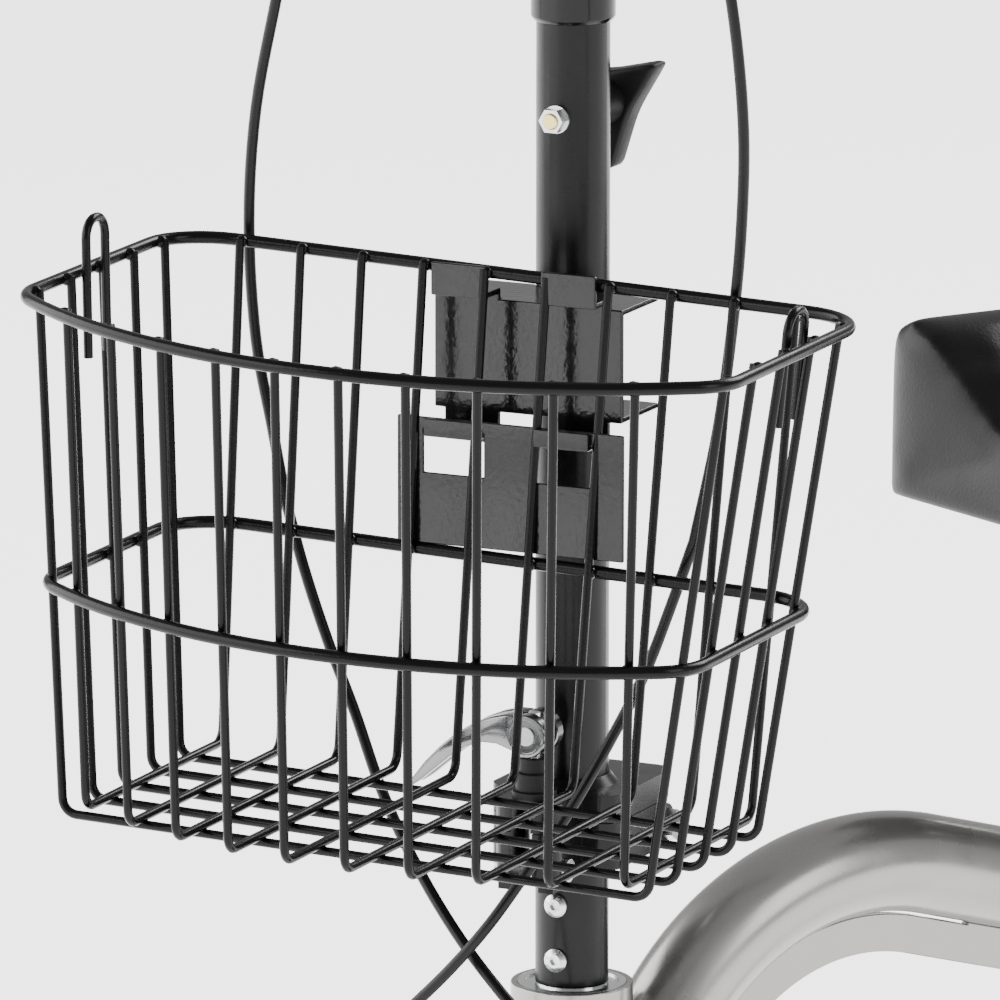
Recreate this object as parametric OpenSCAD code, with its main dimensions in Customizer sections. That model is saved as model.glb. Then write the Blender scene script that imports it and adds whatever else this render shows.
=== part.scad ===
// Knee scooter with wire basket, folding column, twin brakes and height-adjustable knee pad.
// Millimetres, +Z up. -Y is forward and +X is the rider's left. The steering is modelled
// straight ahead about its own axis and then turned by steer_rest, as it stands at rest.

/* [Wheels] */
// Outside diameter of each tyre
wheel_d = 203; // [190:1:215]
// Width of each tyre
tyre_w = 44; // [36:1:48]
// Distance from the centre plane to the middle of each wheel
half_track = 175; // [170:1:200]
// Diameter of the wheel axles
axle_d = 11.9; // [10:0.1:13]
// Distance from the steering axis back to the rear axle
wheelbase = 551; // [520:1:660]

/* [Frame] */
// Outside diameter of the main tube
main_d = 44.4; // [38:0.2:50]
// Bend radius of the main tube on its centre line
bend_r = 127; // [120:1:135]
// Top of the head tube above the floor
head_top = 290; // [285:1:296]
// Outside diameter of the head tube
head_d = 53; // [51:0.5:60]

/* [Column] */
// Outside diameter of the column and of the stem below it
column_d = 31.75; // [30:0.25:36]
// Top of the column tube above the floor
column_top = 716; // [700:1:760]
// Diameter of the sliding handlebar post
post_d = 28; // [26.4:0.2:28.4]
// Height of the handlebar above the floor
bar_z = 905; // [880:1:940]
// Angle that the steering is turned to the left at rest
steer_rest = 29.6; // [0:0.1:40]

/* [Basket] */
// Half width at the rim, to the middle of the rim wire
rim_half_w = 161; // [140:1:175]
// Half width of the floor
floor_half_w = 139; // [120:1:155]
// Depth of the basket at the middle of the rim
rim_depth = 217; // [190:1:240]
// Height of the rim above the floor that the scooter stands on
rim_z = 610; // [600:1:630]
// Height of the basket from its floor to its rim
basket_h = 216; // [190:1:225]
// Diameter of the rim and middle wires
rim_wire_d = 5.6; // [5:0.1:6.2]
// Diameter of the upright and floor wires
wire_d = 4; // [3.4:0.1:4.6]

/* [Knee pad] */
// Width of the pad
pad_w = 192; // [170:1:210]
// Length of the pad
pad_l = 330; // [290:1:360]
// Thickness of the pad at its side ridges
pad_t = 78; // [66:1:90]
// Thickness of the pad at the bottom of its trough
pad_dip_t = 38; // [30:1:50]
// Underside of the pad above the floor
pad_z = 459; // [450:1:470]
// Front end of the pad behind the steering axis
pad_front = 240; // [225:1:260]

/* [Hidden] */
$fn = 64;

// Place of the steering axis, so that the origin lies under the middle of the whole scooter.
steer_x = -12.06;
steer_y = -192.64;

// Clearances
fit = 0.05;         // running and sliding fits, radial
gap = 0.3;          // between parts that only pass each other

// Wheels and axles
wheel_r = wheel_d / 2;
axle_r = axle_d / 2;
axle_bore_r = axle_r + fit;
rim_r = wheel_r - 20;
hub_w = 40;
hub_r = 19;
bearing_r = 14;
bearing_w = 8;
hub_in = half_track - hub_w / 2;
hub_out = half_track + hub_w / 2;
nut_t = 8;
axle_end = hub_out + nut_t + 3;
spokes = 5;

// Front brakes
drum_r = 45;
drum_w = 20;
plate_t = 3;
casing_r = drum_r + 1 + plate_t;
plate_in = hub_in - drum_w - 8;
arm_pivot = [-24, 26];

// Head and steering
head_bottom = 165;
bearing_d = 47;
bearing_h = 12;
shaft_r = 12.45;
stem_r = column_d / 2;
stem_wall = 3.3;
beam_r = 16;
beam_wall = 2.6;
beam_z = wheel_r;
crown_r = 22;
crown_top = head_bottom - 2;

// Main tube, as a straight, a bend over the top, a long straight and a bend down
main_r = main_d / 2;
main_wall = 2.2;
rise_a = 52;
fall_a = 16;
drop_a = 62;
crest_y = 155;
crest_z = 30 + head_top;
rise_y = crest_y - bend_r * sin(rise_a);
rise_z = crest_z - bend_r * (1 - cos(rise_a));
fall_y = crest_y + bend_r * sin(fall_a);
fall_z = crest_z - bend_r * (1 - cos(fall_a));
axle_tube_r = 16;
// Length of the long straight, so that the last straight lands on the rear axle
tail_y = bend_r * (sin(drop_a) - sin(fall_a));
tail_z = bend_r * (cos(fall_a) - cos(drop_a));
run_y = wheelbase - fall_y - tail_y;
run_z = fall_z - tail_z - wheel_r;
// the two straights make up run_y and run_z at their own angles
tail_l = (run_z - run_y * tan(fall_a)) / (sin(drop_a) - cos(drop_a) * tan(fall_a));
long_l = (run_y - tail_l * cos(drop_a)) / cos(fall_a);
drop_y = fall_y + long_l * cos(fall_a);
drop_z = fall_z - long_l * sin(fall_a);

// Pad post and its sleeve
pad_post_r = 14.3;
sleeve_r = 17.5;
sleeve_y = pad_front + pad_l / 2;
sleeve_foot = 212;
sleeve_top = 332;
post_foot = 244;
board_t = 4;
sleeve_knob_z = sleeve_top - 16;

// Hinge at the foot of the column
hinge_y = 38;
hinge_z = head_top + 64;
pin_r = 4;
knuckle_r = 9;
knuckle_w = 12;
lower_plate_z = head_top + 56;
split_z = head_top + 77;
upper_plate_top = head_top + 89;
plate_half_w = 30;
plate_front = 22;
lobe_half_w = 15;
lobe_front = 52;
lobe_r = 10;
bolt_y = -38;
bolt_r = 4;
lug_pin_z = head_top + 59;
cam_z = head_top + 118;

// Column and handlebar post
column_wall = stem_r - post_d / 2 - fit;
knob_z = 671;
post_foot_z = 470;
slot_half_w = 4.6;
collar_r = stem_r + 2.3;
collar_foot = 711.5;
collar_top = 748;
bar_r = 11.1;
bar_rise_a = 18;
bar_bend_r = 70;
bar_mid = 60;
bar_straight = 160;
grip_r = 16;
grip_l = 118;
lever_x = 92;

// Basket, in the steering's own frame
rim_back_y = -53;
floor_back_y = -68;
floor_z = rim_z - basket_h;
mid_z = floor_z + 0.436 * basket_h;
rim_corner_r = 28;
// Radius of the bowed front
front_r = 227;
floor_depth = rim_depth - 38;
hook_xs = [-26.5, 25];
hook_w = 25.5;
hanger_y = -45;

// Routes of the two brake cables, in the steering's own frame
cable_r = 2.5;
cable_left_top = [
  [95.9, -32.2, 912.7], [88, -35, 908], [82, -42, 893], [81, -49, 866], [85, -52, 826],
  [93, -51, 776], [101, -48, 725], [104, -45, 680], [102, -43, 640], [97, -43, 600],
  [88, -43, 550], [77, -43, 500.4]
];
cable_right_top = [
  [-95.9, -32.2, 912.7], [-88, -35, 908], [-82, -42, 893], [-81, -49, 866], [-86, -52, 826],
  [-98, -51, 776], [-111, -48, 722], [-123, -45, 670], [-128, -43, 620], [-127, -43, 570],
  [-122, -43, 530], [-116, -43, 500.4]
];
cable_left_foot = [
  [77, -43, 499.6], [66, -43, 470], [54, -43, 440], [40, -48, 410], [26, -59, 380],
  [12, -71, 355], [-2, -80, 332], [-20, -84, 310], [-45, -84, 285], [-68, -80, 262],
  [-90, -72, 245], [-107, -63, 225], [-118, -57, 205], [-123, -54.5, 188], [-124.4, -54, 170.4]
];
cable_right_foot = [
  [-116, -43, 499.6], [-107, -43, 470], [-96, -43, 440], [-82, -45, 410], [-67, -51, 380],
  [-50, -58, 355], [-30, -66, 332], [-8, -72, 310], [20, -75, 285], [50, -72, 262],
  [80, -66, 245], [104, -60, 225], [118, -56, 205], [123, -54.5, 188], [124.4, -54, 170.4]
];
cable_sides = 10;

// Colours
black = [0.06, 0.06, 0.07];
satin_black = [0.1, 0.1, 0.11];
silver = [0.68, 0.66, 0.64];
zinc = [0.7, 0.72, 0.7];
rubber = [0.08, 0.08, 0.08];
vinyl = [0.07, 0.07, 0.07];
grey = [0.45, 0.46, 0.47];

// ---------- placing ----------
module placed() translate([steer_x, steer_y, 0]) children();
module steered() placed() rotate([0, 0, steer_rest]) children();
module along_x() rotate([0, 90, 0]) children();
module along_y() rotate([-90, 0, 0]) children();

module ring(r_out, r_in, h) {
  difference() {
    cylinder(r = r_out, h = h);
    translate([0, 0, -1]) cylinder(r = r_in, h = h + 2);
  }
}

module x_rod(r, x0, x1) translate([x0, 0, 0]) along_x() cylinder(r = r, h = x1 - x0);

module y_rod(r, y0, y1) translate([0, y0, 0]) along_y() cylinder(r = r, h = y1 - y0);

module hex(r, h) cylinder(r = r, h = h, $fn = 6);

// ---------- main frame ----------
// The straights run into the bends by lap, and are thinner by seam on both faces of their wall
lap = 1;
seam = 0.25;
// A hollow straight along +Z, and a hollow bend about +Z, both of the main tube's section
module main_straight(l) translate([0, 0, -lap])
  ring(main_r - seam, main_r - main_wall + seam, l + 2 * lap);
module main_bend(a) rotate_extrude(angle = a) translate([bend_r, 0]) difference() {
  circle(r = main_r);
  circle(r = main_r - main_wall);
}

module main_tube() color(silver) placed() difference() {
  union() {
    // up from the head tube
    translate([0, rise_y, rise_z]) rotate([90 + rise_a, 0, 0]) main_straight(60);
    // over the top
    translate([0, crest_y, crest_z - bend_r]) rotate([90, 0, 90]) rotate([0, 0, 90 - fall_a])
      main_bend(rise_a + fall_a);
    // down the long straight
    translate([0, fall_y, fall_z]) rotate([-90 - fall_a, 0, 0]) main_straight(long_l);
    // the rear bend
    translate([0, drop_y - bend_r * sin(fall_a), drop_z - bend_r * cos(fall_a)])
      rotate([90, 0, 90]) rotate([0, 0, 90 - drop_a]) main_bend(drop_a - fall_a);
    // and the last straight on to the rear axle
    translate([0, wheelbase, wheel_r]) rotate([90 - drop_a, 0, 0]) main_straight(tail_l);
  }
  translate([0, 0, head_bottom - 60]) cylinder(r = head_d / 2, h = 300);
  translate([0, wheelbase, wheel_r]) x_rod(axle_tube_r, -60, 60);
  translate([0, sleeve_y, sleeve_foot - 20]) cylinder(r = sleeve_r, h = 200);
}

// Flat plate under the crest of the main tube, a little clear of it along the bend
gusset_t = 5;
gusset_w = 17;
gusset_gap = 1.2;
gusset_start = 62;
gusset_run = 95;
module gusset_plate() color(silver) placed() {
  outer = bend_r - main_r - gusset_gap;
  difference() {
    union() {
      translate([-gusset_t / 2, crest_y, crest_z - bend_r]) rotate([90, 0, 90])
        rotate([0, 0, 90 - fall_a]) rotate_extrude(angle = gusset_start + fall_a)
        translate([outer - gusset_w, 0]) square([gusset_w, gusset_t]);
      translate([-gusset_t / 2, fall_y, fall_z]) rotate([-fall_a, 0, 0])
        translate([0, 0, -main_r - gusset_gap - gusset_w]) cube([gusset_t, gusset_run, gusset_w]);
    }
  }
  // weld pads that join the plate to the tube at its two ends
  translate([-gusset_t / 2, fall_y, fall_z]) rotate([-fall_a, 0, 0])
    translate([0, 30, -main_r - gusset_gap]) cube([gusset_t, gusset_run - 30, gusset_gap - 0.1]);
}

module head_tube() color(silver) placed() difference() {
  translate([0, 0, head_bottom]) cylinder(r = head_d / 2, h = head_top - head_bottom);
  translate([0, 0, head_bottom - 1]) cylinder(r = 20, h = head_top - head_bottom + 2);
  for (z = [head_bottom - 1, head_top - bearing_h])
    translate([0, 0, z]) cylinder(r = bearing_d / 2, h = bearing_h + 1);
}

module head_bearings() color(zinc) placed()
  for (z = [head_bottom, head_top - bearing_h]) translate([0, 0, z]) difference() {
    cylinder(r = bearing_d / 2, h = bearing_h);
    translate([0, 0, -1]) cylinder(r = shaft_r + fit, h = bearing_h + 2);
    for (s = [-1, bearing_h - 0.8]) translate([0, 0, s]) ring(20.3, 15.4, 1.8);
  }

module pad_sleeve() color(silver) placed() translate([0, sleeve_y, 0]) difference() {
  union() {
    translate([0, 0, sleeve_foot]) cylinder(r = sleeve_r, h = sleeve_top - sleeve_foot);
    // boss for the clamping knob
    translate([0, 0, sleeve_knob_z]) y_rod(9, 0, sleeve_r + 9);
  }
  translate([0, 0, sleeve_foot - 1]) cylinder(r = pad_post_r + fit, h = 200);
  translate([0, 0, sleeve_knob_z]) y_rod(4 + fit, 0, 60);
}

module rear_axle_tube() color(silver) placed() translate([0, wheelbase, wheel_r]) difference() {
  x_rod(axle_tube_r, -hub_in + gap, hub_in - gap);
  x_rod(axle_bore_r, -hub_in - 1, hub_in + 1);
  for (s = [-1, 1]) translate([s * 76, 0, 0]) x_rod(axle_tube_r - 2.4, -62, 62);
}

module axle() x_rod(axle_r, -axle_end, axle_end);

module axle_nuts() for (s = [-1, 1]) scale([s, 1, 1]) translate([hub_out + gap, 0, 0]) along_x()
  difference() {
    union() {
      cylinder(r = 11, h = 1.6);
      translate([0, 0, 1.6]) hex(10, nut_t - 1.6);
    }
    translate([0, 0, -1]) cylinder(r = axle_bore_r, h = nut_t + 2);
  }

module rear_axle() color(zinc) placed() translate([0, wheelbase, wheel_r]) axle();
module rear_axle_nuts() color(zinc) placed() translate([0, wheelbase, wheel_r]) axle_nuts();

// ---------- wheels ----------
module tyre_profile() {
  crown = 30;
  shoulder = wheel_r - crown + sqrt(crown * crown - tyre_w * tyre_w / 4);
  translate([rim_r, -tyre_w / 2]) square([shoulder - rim_r, tyre_w]);
  intersection() {
    translate([wheel_r - crown, 0]) circle(r = crown);
    translate([rim_r, -tyre_w / 2]) square([wheel_r, tyre_w]);
  }
}

module tyre() along_x() difference() {
  rotate_extrude() tyre_profile();
  for (z = [-9, 9]) translate([0, 0, z - 0.9]) ring(wheel_r + 1, wheel_r - 2.6, 1.8);
}

module wheel_rim(drum) along_x() difference() {
  union() {
    translate([0, 0, -18]) ring(rim_r, rim_r - 9, 36);
    translate([0, 0, -hub_w / 2]) cylinder(r = hub_r, h = hub_w);
    translate([0, 0, -3]) ring(rim_r - 6, 16, 6);
    for (i = [0 : spokes - 1]) rotate([0, 0, 360 / spokes * i])
      translate([hub_r - 4, -7, -12]) cube([rim_r - 9 - hub_r + 8, 14, 24]);
    if (drum) translate([0, 0, -hub_w / 2 - drum_w]) ring(drum_r, drum_r - 5, drum_w + 5);
    if (drum) translate([0, 0, -hub_w / 2]) cylinder(r = drum_r, h = 5);
  }
  // windows between the spokes
  for (i = [0 : spokes - 1]) rotate([0, 0, 360 / spokes * (i + 0.5)])
    translate([56, 0, -30]) cylinder(r = 10, h = 60);
  translate([0, 0, -hub_w]) cylinder(r = axle_r + 2, h = 2 * hub_w);
  for (z = [-hub_w / 2 - 1, hub_w / 2 - bearing_w])
    translate([0, 0, z]) cylinder(r = bearing_r, h = bearing_w + 1);
}

module hub_bearings() along_x() for (z = [-hub_w / 2, hub_w / 2 - bearing_w])
  translate([0, 0, z]) ring(bearing_r, axle_bore_r, bearing_w);

// side is +1 for the left wheel and -1 for the right one
module front_wheel(side) steered() translate([side * half_track, 0, wheel_r])
  scale([side, 1, 1]) children();
module rear_wheel(side) placed() translate([side * half_track, wheelbase, wheel_r])
  scale([side, 1, 1]) children();

// ---------- steering ----------
module steerer() color(zinc) steered() difference() {
  translate([0, 0, beam_z + beam_r + 3]) cylinder(r = shaft_r, h = lower_plate_z - beam_z - beam_r - 8);
  for (z = screw_zs) translate([0, 0, z]) y_rod(3, -20, 0);
}

screw_zs = [head_top + 12.4, head_top + 36.8];
module lower_stem() color(satin_black) steered() difference() {
  translate([0, 0, head_top + 0.2]) cylinder(r = stem_r, h = split_z - gap - head_top - 0.2);
  translate([0, 0, head_top - 1]) cylinder(r = shaft_r, h = 120);
  for (z = screw_zs) translate([0, 0, z]) y_rod(3, -20, 0);
}

module stem_screws() color(zinc) steered() for (z = screw_zs) translate([0, 0, z]) difference() {
  union() {
    y_rod(3, -stem_r - 1, -6);
    translate([0, -stem_r - 2.6, 0]) intersection() {
      y_rod(5.2, 0, 2.6);
      translate([0, 7, 0]) sphere(r = 7.6);
    }
  }
  translate([0, -stem_r - 3, 0]) along_y() hex(2, 2);
}

// Outline shared by the two hinge plates: a rounded body and a lobe towards the front
module plate_outline() {
  translate([-plate_half_w, -plate_front + 6]) square([2 * plate_half_w, hinge_y + plate_front - 12]);
  translate([-plate_half_w + 8, -plate_front]) square([2 * plate_half_w - 16, 12]);
  translate([-plate_half_w + 8, hinge_y - 10]) square([2 * plate_half_w - 16, 14]);
  for (s = [-1, 1]) {
    translate([s * (plate_half_w - 8), -plate_front + 8]) circle(r = 8);
    translate([s * (plate_half_w - 10), hinge_y - 6]) circle(r = 10);
  }
  translate([-lobe_half_w, -lobe_front + lobe_r]) square([2 * lobe_half_w, lobe_front - 12]);
  translate([-lobe_half_w + lobe_r, -lobe_front]) square([2 * (lobe_half_w - lobe_r), lobe_front]);
  for (s = [-1, 1]) translate([s * (lobe_half_w - lobe_r), -lobe_front + lobe_r]) circle(r = lobe_r);
}

module lower_hinge_plate() color(satin_black) steered() difference() {
  union() {
    translate([0, 0, lower_plate_z]) linear_extrude(split_z - gap - lower_plate_z)
      intersection() {
        plate_outline();
        translate([-60, -60]) square([120, 60 + hinge_y - knuckle_r - 1]);
      }
    // knuckles for the hinge pin
    for (s = [-1, 1]) translate([s * (knuckle_w + gap + 7.4), hinge_y, hinge_z]) {
      x_rod(knuckle_r, -7.4, 7.4);
      translate([-7.4, -knuckle_r - 3, -knuckle_r]) cube([14.8, knuckle_r + 3, 2 * knuckle_r]);
    }
    // cheeks for the pin that the clamp pulls on
    for (s = [-1, 1]) translate([s * 9.5 - 3.5, bolt_y - 9, lug_pin_z - 9]) cube([7, 18, 12]);
  }
  translate([0, 0, lower_plate_z - 20]) cylinder(r = stem_r, h = 60);
  translate([-5.2, -lobe_front - 1, lower_plate_z - 1]) cube([10.4, 28, 60]);
  translate([0, hinge_y, hinge_z]) x_rod(pin_r + fit, -60, 60);
  translate([0, bolt_y, lug_pin_z]) x_rod(3.55, -60, 60);
  // room for the upper plate's knuckle
  translate([-knuckle_w - gap, hinge_y - knuckle_r - 1, lower_plate_z - 5])
    cube([2 * (knuckle_w + gap), 40, 60]);
  // chamfer under the knuckles' neighbours
  translate([0, hinge_y, hinge_z]) difference() {
    x_rod(knuckle_r + 12, -80, 80);
    x_rod(knuckle_r, -81, 81);
    translate([-81, -60, -60]) cube([162, 60, 120]);
  }
}

module hinge_pins() color(zinc) steered() {
  translate([0, hinge_y, hinge_z]) {
    x_rod(pin_r, -33, 33);
    translate([27.4 + gap, 0, 0]) along_x() difference() {
      hex(7, 5);
      translate([0, 0, -1]) cylinder(r = pin_r, h = 7);
    }
    translate([-27.4 - gap - 4, 0, 0]) along_x() difference() {
      cylinder(r = 6.5, h = 4);
      translate([0, 0, -1]) cylinder(r = pin_r, h = 7);
    }
  }
  translate([0, bolt_y, lug_pin_z]) {
    x_rod(3.5, -lobe_half_w - 2, lobe_half_w + 2);
    for (s = [-1, 1]) scale([s, 1, 1]) translate([lobe_half_w + gap, 0, 0]) along_x() difference() {
      cylinder(r = 5, h = 1.6);
      translate([0, 0, -1]) cylinder(r = 3.5, h = 4);
    }
  }
}

module front_beam() color(satin_black) steered() difference() {
  union() {
    translate([0, 0, beam_z]) x_rod(beam_r, -plate_in, plate_in);
    translate([0, 0, beam_z]) cylinder(r = crown_r, h = crown_top - beam_z);
  }
  translate([0, 0, beam_z]) x_rod(beam_r - beam_wall, -plate_in - 1, plate_in + 1);
  translate([0, 0, beam_z + beam_r + 3]) cylinder(r = shaft_r, h = 120);
}

module front_axle() color(zinc) steered() translate([0, 0, wheel_r]) axle();
module front_axle_nuts() color(zinc) steered() translate([0, 0, wheel_r]) axle_nuts();

// Where the cable's housing ends, above the tip of the brake arm
stop_y = -54;
stop_z = 160 - wheel_r;
module brake_plates() color(satin_black) steered() for (s = [-1, 1])
  translate([s * plate_in, 0, wheel_r]) scale([s, 1, 1]) {
    brake_plate();
    translate([0, -34, 30]) rotate([32, 0, 0]) translate([0, -5, 0]) cube([plate_t, 10, 36]);
    difference() {
      translate([-2.6, stop_y, stop_z]) cylinder(r = 4.5, h = 10);
      translate([-2.6, stop_y, stop_z - 1]) cylinder(r = 1.2, h = 12);
    }
  }

module brake_plate() along_x() difference() {
    union() {
      cylinder(r = casing_r, h = plate_t);
      ring(casing_r, casing_r - plate_t, 20);
    }
    translate([0, 0, -1]) cylinder(r = axle_bore_r, h = 6);
    translate([-arm_pivot[1], arm_pivot[0], -1]) cylinder(r = 4 + fit, h = 6);
  }

// Arm on the outside of each brake plate, turned by the cable
module brake_arm(side) steered() translate([side * plate_in, arm_pivot[0], wheel_r + arm_pivot[1]])
  scale([side, 1, 1]) {
    x_rod(4, -5, plate_t + 3);
    difference() {
      translate([-5, 0, 0]) union() {
        x_rod(8, 0, 4.6);
        translate([0, -26, 4]) rotate([-8, 0, 0]) translate([0, -4, -5]) cube([4.6, 28, 9]);
        translate([0, -30, 5]) x_rod(6, 0, 4.6);
      }
      translate([0, -30, 5]) x_rod(2, -10, 10);
      x_rod(4, -10, 10);
    }
  }

// ---------- column ----------
module column_tube() color(satin_black) steered() difference() {
  translate([0, 0, split_z]) cylinder(r = stem_r, h = column_top - split_z);
  translate([0, 0, split_z - 1]) cylinder(r = post_d / 2 + fit, h = column_top);
  translate([0, 0, knob_z]) y_rod(4, -40, 40);
}

module upper_hinge_plate() color(satin_black) steered() difference() {
  union() {
    translate([0, 0, split_z]) linear_extrude(upper_plate_top - split_z) plate_outline();
    // collar of weld round the foot of the column
    translate([0, 0, upper_plate_top]) cylinder(r1 = stem_r + 4, r2 = stem_r + 0.6, h = 4);
    translate([0, hinge_y, hinge_z]) x_rod(knuckle_r, -knuckle_w, knuckle_w);
    translate([-knuckle_w, hinge_y - knuckle_r, hinge_z])
      cube([2 * knuckle_w, 2 * knuckle_r - 4, split_z - hinge_z + 2]);
  }
  translate([0, 0, split_z - 20]) cylinder(r = stem_r, h = 80);
  translate([-4.6, -lobe_front - 1, split_z - 1]) cube([9.2, 19, 60]);
  translate([0, hinge_y, hinge_z]) x_rod(pin_r + fit, -60, 60);
}

// Steel sheet hanger with two pairs of hooks, welded to the front of the column
hanger_top = rim_z - 13;
hanger_foot = rim_z - 62;
sheet_t = 2.5;
// The basket's own back plate: its front face, and the underside of its top bar
plate_y = rim_back_y - 10;
bar_foot = rim_z - 68;
bar_h = 5;
plate_sheet = 2;
window_h = 19;
// One hook: a floor under the bar it carries and a lip in front of that bar
module hook(x, seat_z, bar_front, lip) translate([x - hook_w / 2, 0, 0]) {
  front = bar_front - gap - sheet_t;
  translate([0, hanger_y, seat_z - gap - sheet_t - 5]) cube([hook_w, sheet_t, 5 + sheet_t]);
  translate([0, front, seat_z - gap - sheet_t]) cube([hook_w, hanger_y + sheet_t - front, sheet_t]);
  translate([0, front, seat_z - gap - sheet_t]) cube([hook_w, sheet_t, sheet_t + gap + lip]);
}

module basket_hanger() color(black) steered() difference() {
  union() {
    // face sheet
    translate([-44, hanger_y, hanger_foot]) cube([88, sheet_t, hanger_top - hanger_foot]);
    for (x = hook_xs) {
      translate([x - hook_w / 2, hanger_y, bar_foot - gap - sheet_t])
        cube([hook_w, sheet_t, hanger_foot - bar_foot + gap + sheet_t + 1]);
      hook(x, rim_z - 8, rim_back_y - rim_wire_d / 2, 11.5);
      hook(x, bar_foot, plate_y, 5);
    }
    // flanges back to the column
    for (z = [hanger_top - sheet_t, hanger_foot])
      translate([-44, hanger_y, z]) cube([88, -hanger_y - 8, sheet_t]);
  }
  translate([0, 0, hanger_foot - 20]) cylinder(r = stem_r, h = 120);
}

module column_collar() color(black) steered() difference() {
  union() {
    translate([0, 0, collar_foot + 2]) cylinder(r = collar_r, h = collar_top - collar_foot - 4);
    translate([0, 0, collar_foot]) cylinder(r1 = collar_r - 1.4, r2 = collar_r, h = 2);
    translate([0, 0, collar_top - 2]) cylinder(r1 = collar_r, r2 = collar_r - 1.6, h = 2);
  }
  translate([0, 0, collar_foot - 1]) cylinder(r = stem_r, h = column_top - collar_foot + 1);
  translate([0, 0, collar_foot]) cylinder(r = post_d / 2 + fit, h = 80);
}

module height_nut() color(zinc) steered() translate([0, -stem_r - 0.5, knob_z]) {
  difference() {
    union() {
      y_rod(6, -1, 0.4);
      translate([0, -6.4, 0]) along_y() hex(5.6, 5.4);
    }
    y_rod(3.6, -10, 3);
  }
}

lobes = 3;
knob_lobe_a = 36;
// Distance of the knob's edge from its middle, at the angle a
function knob_edge(a) = 11 + 20.5 * pow((1 + cos(lobes * (a - knob_lobe_a))) / 2, 0.7);
module height_knob() color(black) steered() translate([0, 0, knob_z]) {
  y_rod(3.5, -stem_r - 8, stem_r + 4);
  y_rod(8.2, stem_r + 0.6, stem_r + 16);
  translate([0, stem_r + 14, 0]) rotate([90, 0, 0]) mirror([0, 0, 1]) linear_extrude(14)
    polygon([for (a = [0 : 5 : 355]) knob_edge(a) * [cos(a), sin(a)]]);
}

// ---------- clamp that holds the column upright ----------
module clamp_bolt() color(zinc) steered() translate([0, bolt_y, 0]) {
  translate([0, 0, lug_pin_z + 4]) cylinder(r = bolt_r, h = cam_z - cam_r - 1 - lug_pin_z - 4);
  translate([0, 0, cam_z - cam_r - 1]) cylinder(r = 2.6, h = cam_r + 10);
  translate([0, 0, cam_z]) y_rod(4, -9.5, 9.5);
}

module clamp_cup() color(black) steered() translate([0, bolt_y, 0]) difference() {
  union() {
    translate([0, 0, upper_plate_top + 0.1]) cylinder(r = 9.6, h = 4);
    translate([0, 0, upper_plate_top + 4]) cylinder(r = 8, h = 8);
    translate([0, 0, upper_plate_top + 12]) cylinder(r = 6.6, h = 6.6);
  }
  translate([0, 0, split_z]) cylinder(r = bolt_r + 0.1, h = 60);
}

// Curved cam lever: a forked eye and an arm that sweeps down to the right side
cam_r = 9.4;
module cam_lever() color(zinc) steered() translate([0, bolt_y, cam_z]) difference() {
  union() {
    for (s = [-1, 1]) translate([0, s * 6.4, 0]) y_rod(cam_r, -2.8, 2.8);
    intersection() {
      translate([-22, 9.2, -31.5]) rotate([90, 0, 0]) difference() {
        cylinder(r = 41, h = 18.4);
        translate([2, -4, -1]) cylinder(r = 35, h = 22);
      }
      translate([-60, -10, -30]) cube([58, 20, 50]);
    }
  }
  y_rod(4 + fit, -20, 20);
  translate([-12, -3.6, -11]) cube([36, 7.2, 30]);
  translate([0, 0, -30]) cylinder(r = 10, h = 30 - cam_r + 1);
}

// ---------- basket ----------
// Plan outline of the basket at a level: half width w, back y, depth d and corner radius r,
// all to the middle of the wire, grown by grow. The front is one arc between the corners.
function arc(x, y, r, from, to, steps) = [for (i = [0 : steps])
  let (a = from + (to - from) * i / steps) [x + r * cos(a), y + r * sin(a)]];
module plan_outline(w, back, d, r, grow) {
  arc_y = back - d + front_r;
  reach = sqrt(pow(front_r - r, 2) - pow(w - r, 2));
  lean = atan2(w - r, reach);
  front = arc(0, arc_y, front_r + grow, 270 - lean, 270 + lean, 20);
  polygon(concat(
    arc(w - r, back - r, r + grow, 0, 90, 6),
    arc(r - w, back - r, r + grow, 90, 180, 6),
    arc(r - w, arc_y - reach, r + grow, 180, 270 - lean, 5),
    [for (i = [1 : len(front) - 2]) front[i]],
    arc(w - r, arc_y - reach, r + grow, 270 + lean, 360, 5)));
}

// Outline of a ring of wire at the fraction f of the basket's height, grown by grow
module level(f, grow)
  plan_outline(floor_half_w + (rim_half_w - floor_half_w) * f,
    floor_back_y + (rim_back_y - floor_back_y) * f,
    floor_depth + (rim_depth - floor_depth) * f, rim_corner_r, grow);

// The space inside the rings, shrunk by inset, between two heights
module net_shape(inset, z0, z1) hull() for (z = [z0, z1])
  translate([0, 0, z]) linear_extrude(0.01) level((z - floor_z) / basket_h, -inset);

module basket_net() color(black) steered() difference() {
  net_shape(rim_wire_d / 2 + 0.4, floor_z - wire_d / 2, rim_z + 2);
  net_shape(rim_wire_d / 2 + wire_d, floor_z + wire_d / 2, rim_z + 20);
  // room for the hooks, and for the back plate
  for (x = hook_xs) translate([x - hook_w / 2 - 1.5, rim_back_y - 24, bar_foot - window_h])
    cube([hook_w + 3, 40, 160]);
  translate([-plate_half - 0.2, plate_y - 0.2, mid_z + 3.8])
    cube([2 * plate_half + 0.4, plate_sheet + 0.4, bar_foot + bar_h - mid_z - 3.6]);
}

module ring_wire(f, d) translate([0, 0, floor_z + f * basket_h - d / 2]) difference() {
  linear_extrude(d) level(f, d / 2);
  translate([0, 0, -1]) linear_extrude(d + 2) level(f, -d / 2);
}

module basket_rings() color(black) steered() {
  ring_wire(1, rim_wire_d);
  ring_wire((mid_z - floor_z) / basket_h, rim_wire_d);
}

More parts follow.
